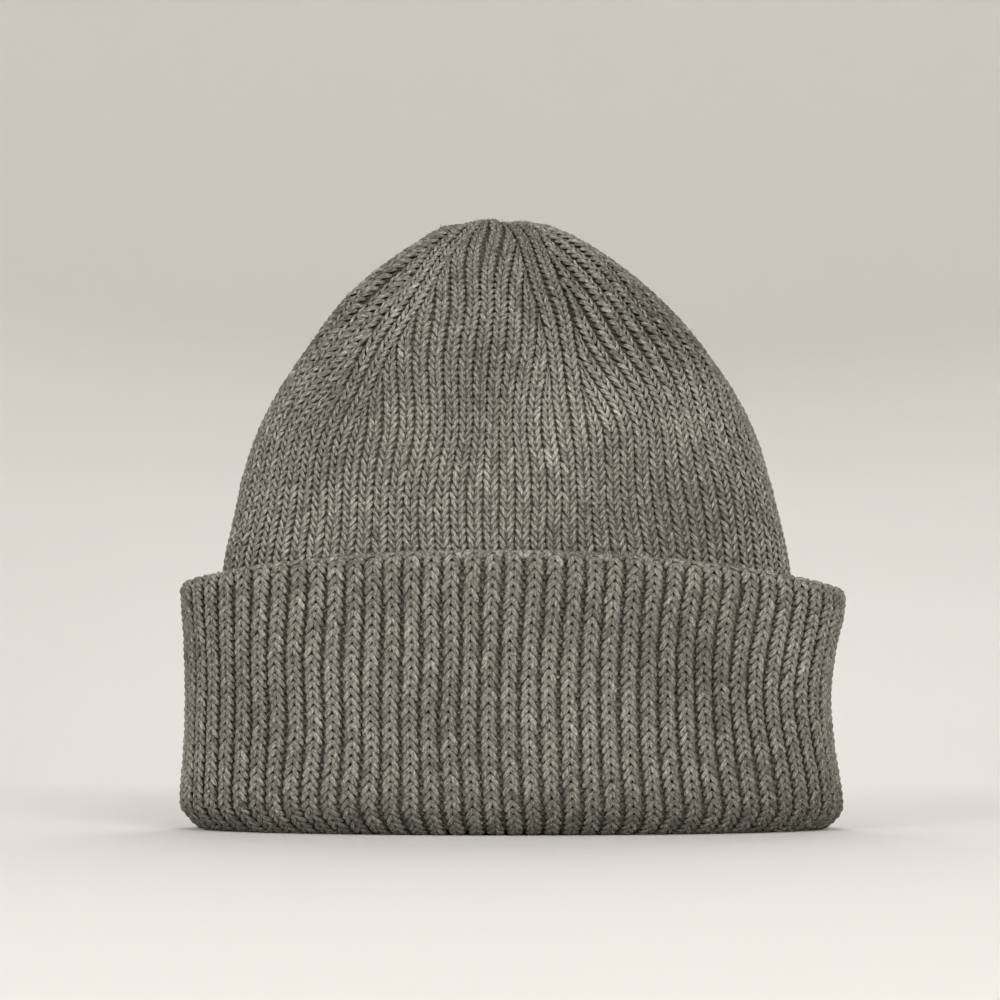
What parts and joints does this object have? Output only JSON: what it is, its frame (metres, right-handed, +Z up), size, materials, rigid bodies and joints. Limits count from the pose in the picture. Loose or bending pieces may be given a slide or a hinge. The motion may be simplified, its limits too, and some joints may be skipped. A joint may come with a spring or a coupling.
{
  "type": "ribbed wool hat with turned-up cuff",
  "caption": "Rib-knitted wool hat standing on its fold: a tapered crown with a gathered top, open from below for the head, and a deep turned-up cuff around its foot.",
  "frame": {"origin": "on the surface that the hat stands on, under the middle of its bounding box", "axes": "+Z up towards the gathered top, +X to the wearer's left along the wide way of the flattened hat, -Y out of its front"},
  "size_m": [0.225, 0.12, 0.2061],
  "materials": {
    "wool": "matt, slightly hairy marled grey wool, rib-knitted"
  },
  "bodies": {
    "root": {"crown": "wool", "cuff": "wool"}
  },
  "joints": []
}
